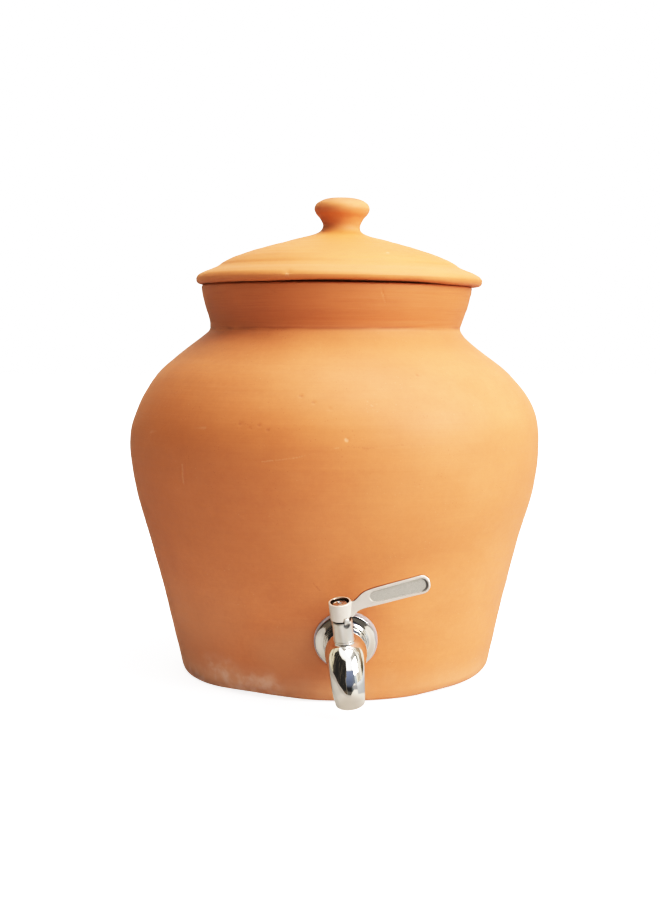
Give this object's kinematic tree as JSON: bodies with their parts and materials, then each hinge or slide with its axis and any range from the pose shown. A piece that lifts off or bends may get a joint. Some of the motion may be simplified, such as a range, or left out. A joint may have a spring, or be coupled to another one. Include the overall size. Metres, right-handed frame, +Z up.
{
  "type": "clay water pot with tap",
  "caption": "Round clay water pot with a flared neck, a loose clay lid with a knob, and a steel lever tap whose spout bends down near the base.",
  "frame": {"origin": "centre of the flat underside of the pot", "axes": "+Z up along the pot's axis; the tap points towards -Y and the lever lies towards +X when closed"},
  "size_m": [0.2809, 0.2972, 0.3237],
  "materials": {
    "clay": "matte",
    "polished_steel": "polished",
    "satin_steel": "satin",
    "silicone": "satin",
    "black_rubber": "matte",
    "ptfe": "satin"
  },
  "bodies": {
    "pot": {"pot_body": "clay", "outer_sealing_washer": "silicone", "flange": "polished_steel", "tap_body": "polished_steel", "bonnet": "satin_steel", "dust_ring": "black_rubber", "bonnet_o_ring": "black_rubber", "shank": "satin_steel", "shank_o_ring": "black_rubber", "inlet_seat": "ptfe", "outlet_seat": "ptfe", "inner_sealing_washer": "silicone", "backing_washer": "satin_steel", "lock_nut": "satin_steel"},
    "lid": {"lid": "clay"},
    "lever": {"lever": "satin_steel", "handle_screw": "satin_steel", "spring_washer": "satin_steel", "stem": "satin_steel", "stem_o_rings": "black_rubber", "thrust_washer": "ptfe", "ball": "polished_steel"}
  },
  "joints": [
    {"name": "lid_lift", "type": "slide", "parent": "pot", "child": "lid", "axis": [0, 0, 1], "range_m": [0, 0.12]},
    {"name": "lever_turn", "type": "hinge", "parent": "pot", "child": "lever", "pos_m": [0.0069, -0.13617, 0.03657], "axis": [-0.1045, -0.249, 0.9628], "range_deg": [-90, 0]}
  ]
}
